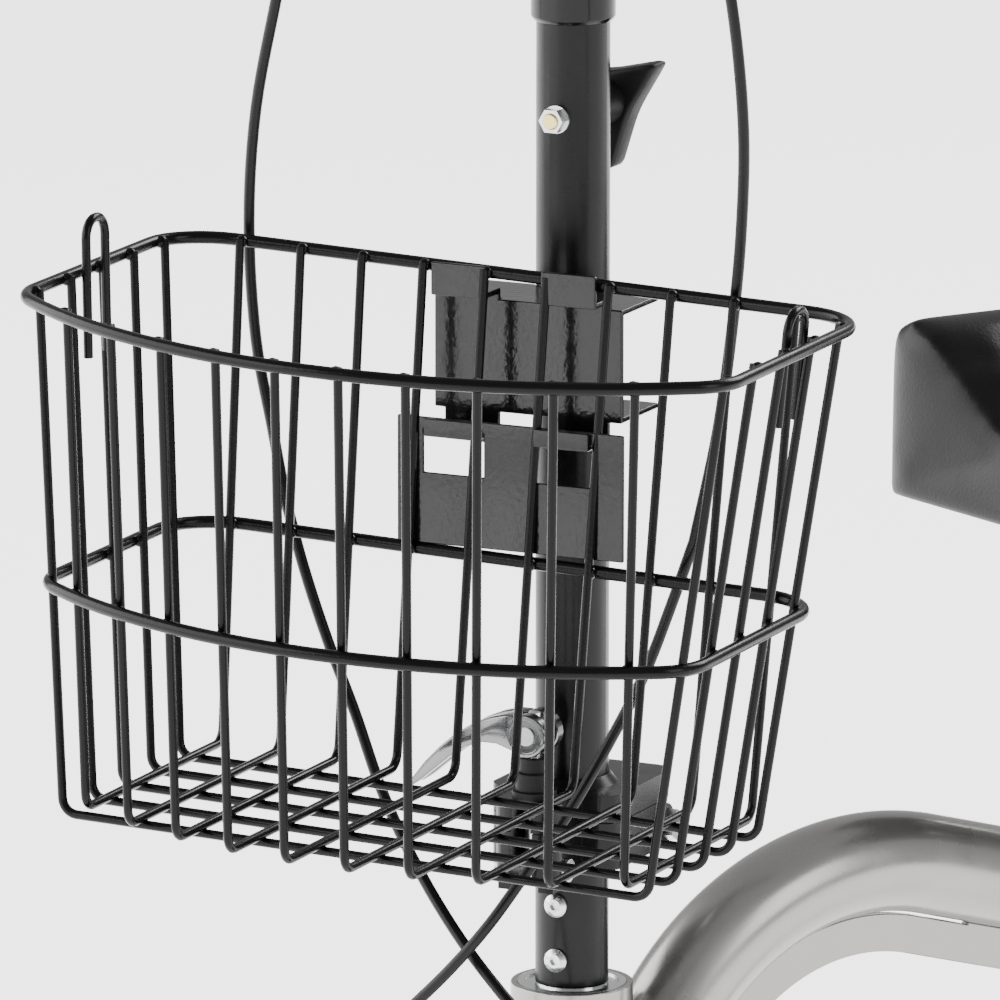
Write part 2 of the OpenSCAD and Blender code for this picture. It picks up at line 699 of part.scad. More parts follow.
plate_half = 53;
module basket_plate() color(black) steered() difference() {
  translate([-plate_half, plate_y, mid_z + 4])
    cube([2 * plate_half, plate_sheet, bar_foot + bar_h - mid_z - 4]);
  for (x = hook_xs) translate([x - hook_w / 2 - 1.5, plate_y - 10, bar_foot - window_h])
    cube([hook_w + 3, 20, window_h]);
}

// ---------- handlebar ----------
module handlebar_post() color(satin_black) steered() difference() {
  translate([0, 0, post_foot_z]) cylinder(r = post_d / 2, h = bar_z - bar_r - 10 - post_foot_z);
  translate([0, 0, post_foot_z - 1]) cylinder(r = post_d / 2 - 2, h = 600);
  // slot that the height bolt passes through over the whole travel
  translate([-slot_half_w, -30, post_foot_z + 60]) cube([2 * slot_half_w, 60, 180]);
}

module bar_clamp() color(black) steered() difference() {
  union() {
    translate([0, 0, bar_z]) x_rod(17.5, -24, 24);
    translate([0, 0, bar_z - 52]) cylinder(r = 17.5, h = 52);
  }
  translate([0, 0, bar_z]) x_rod(bar_r, -30, 30);
  translate([0, 0, bar_z - 53]) cylinder(r = post_d / 2, h = 53 - bar_r - 10);
}

module bar_half(r, cut) {
  x_rod(r, 0, bar_mid);
  translate([bar_mid, 0, bar_bend_r]) rotate([90, 0, 0]) rotate([0, 0, -90])
    rotate_extrude(angle = bar_rise_a) translate([bar_bend_r, 0]) circle(r = r);
  translate([bar_mid + bar_bend_r * sin(bar_rise_a), 0, bar_bend_r * (1 - cos(bar_rise_a))])
    rotate([0, -bar_rise_a, 0]) x_rod(r, 0, bar_straight);
}

module handlebar() color(satin_black) steered() translate([0, 0, bar_z])
  for (s = [-1, 1]) scale([s, 1, 1]) bar_half(bar_r, 0);

// Children placed along the raised end of the bar: x runs outwards from the bend's end
module on_bar(side) steered() translate([0, 0, bar_z]) scale([side, 1, 1])
  translate([bar_mid + bar_bend_r * sin(bar_rise_a), 0, bar_bend_r * (1 - cos(bar_rise_a))])
  rotate([0, -bar_rise_a, 0]) children();

grip_start = bar_straight + 4 - grip_l;
module grips() color(rubber) for (s = [-1, 1]) on_bar(s) difference() {
  union() {
    x_rod(grip_r, grip_start + 4, bar_straight + 4);
    x_rod(grip_r + 3, grip_start, grip_start + 4);
    for (i = [0 : 8]) x_rod(grip_r + 0.6, grip_start + 12 + 10 * i, grip_start + 18 + 10 * i);
  }
  x_rod(bar_r, grip_start - 1, bar_straight);
}

lever_pivot = [grip_start - 12, -30];
module lever_brackets() color(black) for (s = [-1, 1]) on_bar(s) difference() {
  union() {
    x_rod(16, grip_start - 18, grip_start - 2);
    translate([grip_start - 20, -38, -7]) cube([18, 30, 14]);
    translate([grip_start - 26, -32, 0]) x_rod(4.5, -4, 8);
  }
  x_rod(bar_r, grip_start - 40, grip_start + 20);
  // slot for the lever
  translate([grip_start - 21, -60, -3 - gap]) cube([40, 38, 6 + 2 * gap]);
  translate([lever_pivot[0], lever_pivot[1], -20]) cylinder(r = 3 + fit, h = 40);
}

module brake_lever(side) color(zinc) on_bar(side) translate([lever_pivot[0], lever_pivot[1], 0]) {
  cylinder(r = 3, h = 13.6, center = true);
  difference() {
    translate([0, 0, -3]) linear_extrude(6) {
      circle(r = 6);
      translate([0, -7.5]) rotate(-14) square([56, 9]);
      translate([52, -21]) rotate(3) square([50, 8]);
      translate([101, -13.5]) circle(r = 6);
    }
    cylinder(r = 3, h = 20, center = true);
  }
}

// ---------- knee pad ----------
module pad_post() color(satin_black) placed() translate([0, sleeve_y, 0]) difference() {
  translate([0, 0, post_foot]) cylinder(r = pad_post_r, h = pad_z - board_t - post_foot);
  translate([0, 0, post_foot - 1]) cylinder(r = pad_post_r - 2.2, h = pad_z - board_t - post_foot - 3);
}

board_l = 200;
board_w = 110;
module pad_board() color(satin_black) placed() translate([0, sleeve_y, pad_z - board_t]) {
  difference() {
    translate([-board_w / 2, -board_l / 2, 0]) cube([board_w, board_l, board_t]);
    for (x = [-1, 1], y = [-1, 1]) translate([x * 40, y * 80, -1]) cylinder(r = 3.2, h = 10);
  }
  // braces down to the post
  for (s = [-1, 1]) translate([-2, s * (pad_post_r + 20) - 20, -22]) cube([4, 40, 22 - 0.05]);
}

module pad_screws() color(zinc) placed() translate([0, sleeve_y, pad_z - board_t])
  for (x = [-1, 1], y = [-1, 1]) translate([x * 40, y * 80, 0]) {
    cylinder(r = 3, h = board_t);
    translate([0, 0, -4]) cylinder(r = 6, h = 4);
  }

// Pad with raised sides and a trough along its middle
module pad_section(inset) {
  w = pad_w / 2 - inset;
  t = pad_t - inset;
  polygon([[-w, 0], [w, 0], [w, t - 20], [w - 6, t - 6], [w - 20, t],
    [w - 34, t - 3], [14, pad_dip_t], [-14, pad_dip_t], [-w + 34, t - 3],
    [-w + 20, t], [-w + 6, t - 6], [-w, t - 20]]);
}

module knee_pad() color(vinyl) placed() translate([0, pad_front, pad_z + 0.2])
  difference() {
    translate([0, pad_l, 0]) rotate([90, 0, 0]) linear_extrude(pad_l) pad_section(0);
    // plan corners
    for (x = [-1, 1], y = [0, 1]) translate([x * pad_w / 2, y * pad_l, 0]) difference() {
      translate([-22, -22, -1]) cube([44, 44, pad_t + 2]);
      translate([-x * 22, (1 - 2 * y) * 22, -2]) cylinder(r = 22, h = pad_t + 4);
      translate([-x * 22 - (x > 0 ? 40 : 0), y > 0 ? -80 : -30, -2]) cube([40, 110, pad_t + 4]);
      translate([-60, y > 0 ? -62 : 22, -2]) cube([120, 40, pad_t + 4]);
    }
  }

module sleeve_knob() color(black) placed() translate([0, sleeve_y, sleeve_knob_z]) {
  y_rod(4, pad_post_r + 0.6, sleeve_r + 12);
  translate([0, sleeve_r + 12, 0]) rotate([90, 0, 0]) mirror([0, 0, 1]) {
    cylinder(r = 13, h = 14);
    for (i = [0 : 4]) rotate([0, 0, 72 * i]) translate([15, 0, 0]) cylinder(r = 5.5, h = 14);
  }
}

// ---------- brake cables ----------
function unit(v) = v / norm(v);
function dir_at(p, i) = unit(p[min(i + 1, len(p) - 1)] - p[max(i - 1, 0)]);
// A smooth curve through hand-chosen points, four steps to each span
function spline(p, i, t) = let(
  a = p[max(i - 1, 0)], b = p[i], c = p[i + 1], d = p[min(i + 2, len(p) - 1)])
  0.5 * (2 * b + (c - a) * t + (2 * a - 5 * b + 4 * c - d) * t * t + (3 * b - a - 3 * c + d) * t * t * t);
function smooth(p, n) = concat([for (i = [0 : len(p) - 2], k = [0 : n - 1]) spline(p, i, k / n)],
  [p[len(p) - 1]]);

module tube_along(path, r, sides) {
  n = len(path);
  points = [for (i = [0 : n - 1]) let(d = dir_at(path, i), side = unit(cross(d, [0, 1, 0.001])),
    up = cross(side, d)) for (k = [0 : sides - 1])
    path[i] + r * (cos(360 * k / sides) * side + sin(360 * k / sides) * up)];
  faces = concat(
    [[for (k = [0 : sides - 1]) k]],
    [for (i = [0 : n - 2], k = [0 : sides - 1]) let(m = (k + 1) % sides)
      [i * sides + k, (i + 1) * sides + k, (i + 1) * sides + m, i * sides + m]],
    [[for (k = [sides - 1 : -1 : 0]) (n - 1) * sides + k]]);
  polyhedron(points = points, faces = faces, convexity = 6);
}

module cable(route) color(rubber) steered() tube_along(smooth(route, 2), cable_r, cable_sides);

head_tube();
head_bearings();
main_tube();
gusset_plate();
pad_sleeve();
rear_axle_tube();
rear_axle();
rear_axle_nuts();
steerer();
lower_stem();
stem_screws();
lower_hinge_plate();
hinge_pins();
front_beam();
front_axle();
front_axle_nuts();
brake_plates();
column_tube();
upper_hinge_plate();
basket_hanger();
column_collar();
height_nut();
clamp_bolt();
clamp_cup();
cam_lever();
height_knob();
basket_net();
basket_rings();
basket_plate();
handlebar_post();
bar_clamp();
handlebar();
grips();
lever_brackets();
brake_lever(1);  // brake_lever_left
brake_lever(-1);  // brake_lever_right
color(zinc) brake_arm(1);  // brake_arm_left
color(zinc) brake_arm(-1);  // brake_arm_right
pad_post();
pad_board();
pad_screws();
knee_pad();
sleeve_knob();
color(rubber) front_wheel(1) tyre();  // tyre_front_left
color(rubber) front_wheel(-1) tyre();  // tyre_front_right
color(rubber) rear_wheel(1) tyre();  // tyre_rear_left
color(rubber) rear_wheel(-1) tyre();  // tyre_rear_right
color(grey) front_wheel(1) wheel_rim(true);  // rim_front_left
color(grey) front_wheel(-1) wheel_rim(true);  // rim_front_right
color(grey) rear_wheel(1) wheel_rim(false);  // rim_rear_left
color(grey) rear_wheel(-1) wheel_rim(false);  // rim_rear_right
color(zinc) front_wheel(1) hub_bearings();  // hub_bearings_front_left
color(zinc) front_wheel(-1) hub_bearings();  // hub_bearings_front_right
color(zinc) rear_wheel(1) hub_bearings();  // hub_bearings_rear_left
color(zinc) rear_wheel(-1) hub_bearings();  // hub_bearings_rear_right
cable(cable_left_top);  // cable_upper_left
cable(cable_right_top);  // cable_upper_right
cable(cable_left_foot);  // cable_lower_left
cable(cable_right_foot);  // cable_lower_right
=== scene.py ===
import math

import bmesh
import bpy
from mathutils import Matrix, Vector


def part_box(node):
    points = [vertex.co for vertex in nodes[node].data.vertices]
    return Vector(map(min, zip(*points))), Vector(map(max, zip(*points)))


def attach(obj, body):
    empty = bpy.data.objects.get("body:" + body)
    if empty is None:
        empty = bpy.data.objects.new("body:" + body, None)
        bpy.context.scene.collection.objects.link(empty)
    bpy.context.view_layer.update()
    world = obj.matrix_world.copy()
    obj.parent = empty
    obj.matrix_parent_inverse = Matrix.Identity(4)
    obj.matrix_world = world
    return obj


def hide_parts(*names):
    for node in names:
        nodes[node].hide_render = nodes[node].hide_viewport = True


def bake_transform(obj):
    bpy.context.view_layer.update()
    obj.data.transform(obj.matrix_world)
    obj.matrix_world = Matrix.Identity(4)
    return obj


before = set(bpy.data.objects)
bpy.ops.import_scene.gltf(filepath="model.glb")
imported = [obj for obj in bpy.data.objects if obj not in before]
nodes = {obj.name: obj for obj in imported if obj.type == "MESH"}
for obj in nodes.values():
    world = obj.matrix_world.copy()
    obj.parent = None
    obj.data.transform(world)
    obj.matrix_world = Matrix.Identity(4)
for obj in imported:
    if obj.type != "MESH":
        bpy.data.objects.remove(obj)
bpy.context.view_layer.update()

# The steering axis stands here, and the fork, column, basket and bars rest turned to the left
axis_x, axis_y = -0.01206, -0.19264
rest_turn = math.radians(29.6)
frame_place = Matrix.Translation((axis_x, axis_y, 0))
steered = frame_place @ Matrix.Rotation(rest_turn, 4, "Z")


def in_steering(x, y, z):
    """A point of the steered half, given in millimetres from the steering axis."""
    return steered @ Vector((x / 1000, y / 1000, z / 1000))


def in_frame(x, y, z):
    """A point of the main frame, given in millimetres from the steering axis."""
    return frame_place @ Vector((x / 1000, y / 1000, z / 1000))


# ---------- camera ----------
camera = bpy.data.objects.new("camera", bpy.data.cameras.new("camera"))
bpy.context.scene.collection.objects.link(camera)
bpy.context.scene.camera = camera
camera.data.lens = 464.2
camera.data.sensor_width = 36
camera.data.clip_end = 100
# where it stands, and the direction it looks back from, as turns about up and above the floor
stand_turn, stand_rise, stand_off, stand_z = math.radians(54.71), math.radians(11.19), 5.5055, 0.6104
look_turn, look_rise, roll = math.radians(55.04), math.radians(12.29), math.radians(0.02)
stand = Vector((math.sin(stand_turn) * math.cos(stand_rise), -math.cos(stand_turn) * math.cos(stand_rise),
                math.sin(stand_rise))) * stand_off + Vector((axis_x, axis_y, stand_z))
camera.matrix_world = (Matrix.Translation(stand) @ Matrix.Rotation(look_turn, 4, "Z")
                       @ Matrix.Rotation(math.pi / 2 - look_rise, 4, "X") @ Matrix.Rotation(roll, 4, "Z"))


# ---------- finishes ----------
def new_finish(name, colour, roughness, metallic=0.0, coat=0.0, coat_roughness=0.1, specular=0.5):
    """A material with its shader's plain sockets set; returns (material, nodes, links, shader)."""
    material = bpy.data.materials.new(name)
    material.use_nodes = True
    tree = material.node_tree
    shader = tree.nodes["Principled BSDF"]
    shader.inputs["Base Color"].default_value = (*colour, 1)
    shader.inputs["Roughness"].default_value = roughness
    shader.inputs["Metallic"].default_value = metallic
    shader.inputs["Coat Weight"].default_value = coat
    shader.inputs["Coat Roughness"].default_value = coat_roughness
    shader.inputs["Specular IOR Level"].default_value = specular
    return material, tree.nodes, tree.links, shader


def pattern(n, l, kind, scale, detail=2.0, stretch=(1, 1, 1)):
    """A noise or cell pattern on object coordinates; returns its output."""
    place = n.new("ShaderNodeTexCoord")
    mapping = n.new("ShaderNodeMapping")
    mapping.inputs["Scale"].default_value = stretch
    l.new(place.outputs["Object"], mapping.inputs["Vector"])
    if kind == "cells":
        texture = n.new("ShaderNodeTexVoronoi")
        texture.feature = "SMOOTH_F1"
        output = texture.outputs["Distance"]
    else:
        texture = n.new("ShaderNodeTexNoise")
        texture.inputs["Detail"].default_value = detail
        output = texture.outputs["Fac"]
    texture.inputs["Scale"].default_value = scale
    l.new(mapping.outputs["Vector"], texture.inputs["Vector"])
    return output


def spread(n, l, value, low, high, start=0.35, stop=0.65):
    """value between start and stop spread to between low and high."""
    ramp = n.new("ShaderNodeMapRange")
    ramp.inputs["From Min"].default_value = start
    ramp.inputs["From Max"].default_value = stop
    ramp.inputs["To Min"].default_value = low
    ramp.inputs["To Max"].default_value = high
    l.new(value, ramp.inputs["Value"])
    return ramp.outputs["Result"]


def tint(n, l, value, dark, light):
    """A colour between dark and light, by a value from 0 to 1."""
    mix = n.new("ShaderNodeMix")
    mix.data_type = "RGBA"
    mix.inputs["A"].default_value = (*dark, 1)
    mix.inputs["B"].default_value = (*light, 1)
    l.new(value, mix.inputs["Factor"])
    return mix.outputs["Result"]


def relief(n, l, shader, value, depth, strength=1.0, under=None):
    """Bump of that depth in metres from value."""
    bump = n.new("ShaderNodeBump")
    bump.inputs["Distance"].default_value = depth
    bump.inputs["Strength"].default_value = strength
    l.new(value, bump.inputs["Height"])
    if under is not None:
        l.new(under, bump.inputs["Normal"])
    l.new(bump.outputs["Normal"], shader.inputs["Normal"])
    return bump.outputs["Normal"]


def paint(name, colour, roughness, peel, peel_scale, metallic=0.0, coat=0.0, specular=0.5):
    """Sprayed or powder paint: slight orange peel, and roughness that wanders."""
    material, n, l, shader = new_finish(name, colour, roughness, metallic, coat, specular=specular)
    wander = pattern(n, l, "noise", 28, 3)
    l.new(spread(n, l, wander, roughness * 0.82, roughness * 1.2), shader.inputs["Roughness"])
    l.new(tint(n, l, wander, tuple(c * 0.86 for c in colour), tuple(min(c * 1.12, 1) for c in colour)),
          shader.inputs["Base Color"])
    relief(n, l, shader, pattern(n, l, "noise", peel_scale, 2), peel)
    return material


def metal(name, colour, roughness, grain=(1, 1, 1), grain_scale=900, depth=0.000012):
    """Bare or plated metal with fine grain along one way and soft clouding."""
    material, n, l, shader = new_finish(name, colour, roughness, 1.0)
    cloud = pattern(n, l, "noise", 60, 4)
    l.new(spread(n, l, cloud, roughness * 0.7, roughness * 1.45), shader.inputs["Roughness"])
    l.new(tint(n, l, cloud, tuple(c * 0.82 for c in colour), tuple(min(c * 1.08, 1) for c in colour)),
          shader.inputs["Base Color"])
    relief(n, l, shader, pattern(n, l, "noise", grain_scale, 3, grain), depth)
    return material


def moulding(name, colour, roughness, texture_scale, depth, specular=0.5):
    """Moulded plastic or rubber with a fine pebbled texture."""
    material, n, l, shader = new_finish(name, colour, roughness, specular=specular)
    cloud = pattern(n, l, "noise", 35, 3)
    l.new(spread(n, l, cloud, roughness * 0.88, min(roughness * 1.12, 1)), shader.inputs["Roughness"])
    l.new(tint(n, l, cloud, tuple(c * 0.85 for c in colour), tuple(c * 1.2 for c in colour)),
          shader.inputs["Base Color"])
    relief(n, l, shader, pattern(n, l, "cells", texture_scale), depth)
    return material


silver_paint = paint("silver paint", (0.29, 0.282, 0.27), 0.26, 0.00002, 700, metallic=0.8, coat=0.35)
satin_black = paint("satin black paint", (0.003, 0.003, 0.0032), 0.27, 0.00003, 900, specular=0.2)
gloss_black = paint("gloss black paint", (0.003, 0.003, 0.0033), 0.17, 0.00012, 420, specular=0.4)
wire_black = paint("wire black coating", (0.0022, 0.0022, 0.0024), 0.22, 0.00006, 600, specular=0.15)
zinc_plate = metal("zinc plate", (0.72, 0.74, 0.73), 0.24)
yellow_zinc = metal("yellow zinc", (0.78, 0.66, 0.28), 0.25)
bright_alloy = metal("polished alloy", (0.2, 0.2, 0.205), 0.16, (1, 1, 12), 300)
dull_plastic = moulding("black moulding", (0.004, 0.004, 0.0044), 0.5, 2600, 0.00004, 0.2)
gloss_plastic = moulding("glossy black moulding", (0.003, 0.003, 0.0036), 0.18, 900, 0.000008, 0.25)
grey_plastic = moulding("grey moulding", (0.2, 0.205, 0.21), 0.45, 1800, 0.00004)
grip_rubber = moulding("grip rubber", (0.012, 0.012, 0.013), 0.68, 1500, 0.00008, 0.35)
tyre_rubber = moulding("tyre rubber", (0.016, 0.016, 0.016), 0.74, 1100, 0.00012, 0.35)
jacket = moulding("cable jacket", (0.0025, 0.0025, 0.0025), 0.27, 1200, 0.00001, 0.2)


def vinyl():
    """Upholstery vinyl: fine leather grain over a soft sheen."""
    material, n, l, shader = new_finish("pad vinyl", (0.003, 0.003, 0.0033), 0.4, specular=0.18)
    cloud = pattern(n, l, "noise", 22, 4)
    l.new(spread(n, l, cloud, 0.3, 0.44), shader.inputs["Roughness"])
    l.new(tint(n, l, cloud, (0.0024, 0.0024, 0.0026), (0.0046, 0.0046, 0.005)), shader.inputs["Base Color"])
    soft = relief(n, l, shader, pattern(n, l, "noise", 90, 3), 0.0004, 0.25)
    relief(n, l, shader, pattern(n, l, "cells", 700), 0.00012, 0.6, soft)
    return material


pad_vinyl = vinyl()

node_finish = {}
for names, finish in [
    ("head_tube main_tube gusset_plate pad_sleeve rear_axle_tube", silver_paint),
    ("lower_stem lower_hinge_plate front_beam brake_plates column_tube upper_hinge_plate handlebar_post "
     "handlebar pad_post pad_board", satin_black),
    ("basket_hanger basket_net basket_rings basket_plate", gloss_black),
    ("head_bearings rear_axle rear_axle_nuts steerer stem_screws hinge_pins front_axle front_axle_nuts "
     "height_nut clamp_bolt brake_arm_left brake_arm_right pad_screws", zinc_plate),
    ("cam_lever brake_lever_left brake_lever_right", bright_alloy),
    ("height_knob clamp_cup lever_brackets bar_clamp sleeve_knob", dull_plastic),
    ("column_collar", gloss_plastic), ("grips", grip_rubber), ("knee_pad", pad_vinyl),
    ("cable_upper_left cable_upper_right cable_lower_left cable_lower_right", jacket),
]:
    for node in names.split():
        node_finish[node] = finish
for end in ("front", "rear"):
    for side in ("left", "right"):
        node_finish[f"tyre_{end}_{side}"] = tyre_rubber
        node_finish[f"rim_{end}_{side}"] = grey_plastic
        node_finish[f"hub_bearings_{end}_{side}"] = zinc_plate
for node, finish in node_finish.items():
    nodes[node].data.materials.clear()
    nodes[node].data.materials.append(finish)


# ---------- making pieces ----------
def finished(name, mesh, material, body=None, stands_for=()):
    """A finished piece from a mesh or bmesh: shaded smooth by angle, riding on its body."""
    if isinstance(mesh, bmesh.types.BMesh):
        data = bpy.data.meshes.new(name)
        mesh.to_mesh(data)
        mesh.free()
    else:
        data = mesh
        data.name = name
    piece = bpy.data.objects.new(name, data)
    bpy.context.scene.collection.objects.link(piece)
    data.materials.clear()
    data.materials.append(material)
    data.shade_smooth()
    data.set_sharp_from_angle(angle=math.radians(38))
    if body:
        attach(piece, body)
    if stands_for:
        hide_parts(*stands_for)
    return piece


def wires(name, runs, radius, closed=False, sides=10):
    """A mesh of round wire along each run of points."""
    curve = bpy.data.curves.new(name, "CURVE")
    curve.dimensions = "3D"
    curve.bevel_depth = radius
    curve.bevel_resolution = max(sides // 2 - 2, 1)
    curve.use_fill_caps = True
    for run in runs:
        spline = curve.splines.new("POLY")
        spline.points.add(len(run) - 1)
        for point, place in zip(spline.points, run):
            point.co = (*place, 1)
        spline.use_cyclic_u = closed
    maker = bpy.data.objects.new(name + " run", curve)
    bpy.context.scene.collection.objects.link(maker)
    mesh = bpy.data.meshes.new_from_object(maker.evaluated_get(bpy.context.evaluated_depsgraph_get()))
    bpy.data.objects.remove(maker)
    bpy.data.curves.remove(curve)
    return mesh


def rounded(corners, radius, steps=6):
    """The points of a run through corners, with each inner corner rounded."""
    run = [corners[0]]
    for before, corner, after in zip(corners, corners[1:], corners[2:]):
        a, b = (before - corner).normalized(), (after - corner).normalized()
        half = a.angle(b) / 2
        if half > math.radians(88):
            run.append(corner)
            continue
        reach = min(radius / math.tan(half), (before - corner).length * 0.45, (after - corner).length * 0.45)
        true_radius = reach * math.tan(half)
        middle = corner + (a + b).normalized() * (true_radius / math.sin(half))
        start, stop = corner + a * reach - middle, corner + b * reach - middle
        turn, about = start.angle(stop), start.cross(stop).normalized()
        run += [middle + Matrix.Rotation(turn * k / steps, 3, about) @ start for k in range(steps + 1)]
    return run + [corners[-1]]


def smooth_run(points, steps):
    """A smooth run through points."""
    run = []
    ends = [points[0] * 2 - points[1]] + list(points) + [points[-1] * 2 - points[-2]]
    for a, b, c, d in zip(ends, ends[1:], ends[2:], ends[3:]):
        for k in range(steps):
            t = k / steps
            run.append(0.5 * (2 * b + (c - a) * t + (2 * a - 5 * b + 4 * c - d) * t * t
                              + (3 * b - a - 3 * c + d) * t ** 3))
    return run + [points[-1]]


def joined(meshes):
    """One bmesh of several meshes or bmeshes."""
    whole = bmesh.new()
    for mesh in meshes:
        if isinstance(mesh, bmesh.types.BMesh):
            data = bpy.data.meshes.new("part")
            mesh.to_mesh(data)
            mesh.free()
            mesh = data
        whole.from_mesh(mesh)
        bpy.data.meshes.remove(mesh)
    return whole


def eased(node, width, angle=32, segments=2):
    """A copy of a CAD node with its triangles merged and its sharp edges eased by width."""
    mesh = bmesh.new()
    mesh.from_mesh(nodes[node].data)
    bmesh.ops.remove_doubles(mesh, verts=mesh.verts, dist=2e-6)
    bmesh.ops.dissolve_limit(mesh, angle_limit=math.radians(0.8), verts=mesh.verts, edges=mesh.edges,
                             use_dissolve_boundaries=False)
    sharp = [e for e in mesh.edges if len(e.link_faces) == 2 and e.calc_face_angle(0) > math.radians(angle)]
    bmesh.ops.bevel(mesh, geom=sharp, offset=width, offset_type="OFFSET", affect="EDGES", segments=segments,
                    profile=0.5, clamp_overlap=True, material=-1)
    return mesh


def slab(outline, low, high, place, ease=0.0, segments=3, angle=50):
    """A closed plate from an outline in its own plane, between two heights, with eased edges."""
    mesh = bmesh.new()
    face = mesh.faces.new([mesh.verts.new((x / 1000, y / 1000, low / 1000)) for x, y in outline])
    raised = bmesh.ops.extrude_face_region(mesh, geom=[face])["geom"]
    bmesh.ops.translate(mesh, verts=[v for v in raised if isinstance(v, bmesh.types.BMVert)],
                        vec=(0, 0, (high - low) / 1000))
    bmesh.ops.recalc_face_normals(mesh, faces=mesh.faces)
    if ease:
        sharp = [e for e in mesh.edges if e.calc_face_angle(0) > math.radians(angle)]
        bmesh.ops.bevel(mesh, geom=sharp, offset=ease / 1000, offset_type="OFFSET", affect="EDGES",
                        segments=segments, profile=0.5, clamp_overlap=True, material=-1)
    bmesh.ops.transform(mesh, matrix=place, verts=mesh.verts)
    return mesh


def turned(profile, place, steps=48):
    """A closed turning about its own Z, from a profile of (radius, height) in millimetres."""
    mesh = bmesh.new()
    corners = [mesh.verts.new((r / 1000, 0, h / 1000)) for r, h in profile]
    edges = [mesh.edges.new(pair) for pair in zip(corners, corners[1:])]
    bmesh.ops.spin(mesh, geom=corners + edges, cent=(0, 0, 0), axis=(0, 0, 1), angle=2 * math.pi,
                   steps=steps, use_merge=True)
    bmesh.ops.remove_doubles(mesh, verts=mesh.verts, dist=2e-6)
    bmesh.ops.recalc_face_normals(mesh, faces=mesh.faces)
    bmesh.ops.transform(mesh, matrix=place, verts=mesh.verts)
    return mesh


def millimetres(x, y, z):
    return Matrix.Translation((x / 1000, y / 1000, z / 1000))


# ---------- basket ----------
rim_z, floor_z, mid_z = 610, 394, 488.2
rim_half, floor_half, rim_back, floor_back, rim_depth, floor_depth = 161, 139, -53, -68, 217, 179
corner_r, front_r = 28, 227
rim_wire, thin_wire = 2.8, 2.0
# the wirework hangs a little askew on its hooks
hook_place = Matrix.Translation((0, rim_back / 1000, rim_z / 1000))
hung = (steered @ hook_place @ Matrix.Rotation(math.radians(1), 4, "Z")
        @ Matrix.Rotation(math.radians(2), 4, "Y") @ hook_place.inverted())


def in_basket(x, y, z):
    """A point of the hung basket, given in millimetres from the steering axis."""
    return hung @ Vector((x / 1000, y / 1000, z / 1000))


def basket_level(z):
    """(half width, back, depth) of the basket's outline at a height, to the middle of the ring wire."""
    f = (z - floor_z) / (rim_z - floor_z)
    return (floor_half + (rim_half - floor_half) * f, floor_back + (rim_back - floor_back) * f,
            floor_depth + (rim_depth - floor_depth) * f)


def front_edge(x, z, inset=0.0):
    """How far forward the bowed front stands at x."""
    half, back, depth = basket_level(z)
    return back - depth + front_r - math.sqrt((front_r - inset) ** 2 - x ** 2)


def ring_run(z):
    """The closed run of a ring wire at a height."""
    half, back, depth = basket_level(z)
    middle_y = back - depth + front_r
    reach = math.sqrt((front_r - corner_r) ** 2 - (half - corner_r) ** 2)
    front_corner = middle_y - reach
    lean = math.atan2(half - corner_r, reach)
    run = []
    for k in range(9):
        a = math.pi / 2 * k / 8
        run.append((half - corner_r + corner_r * math.cos(a), back - corner_r + corner_r * math.sin(a)))
    run += [(-x, y) for x, y in reversed(run)]
    for k in range(9):
        a = math.pi + (math.pi / 2 - lean) * k / 8
        run.append((-half + corner_r + corner_r * math.cos(a), front_corner + corner_r * math.sin(a)))
    for k in range(1, 24):
        a = -math.pi / 2 - lean + 2 * lean * k / 24
        run.append((front_r * math.cos(a), middle_y + front_r * math.sin(a)))
    for k in range(9):
        a = -math.pi / 2 + lean + (math.pi / 2 - lean) * k / 8
        run.append((half - corner_r + corner_r * math.cos(a), front_corner + corner_r * math.sin(a)))
    return [in_basket(x, y, z) for x, y in run]


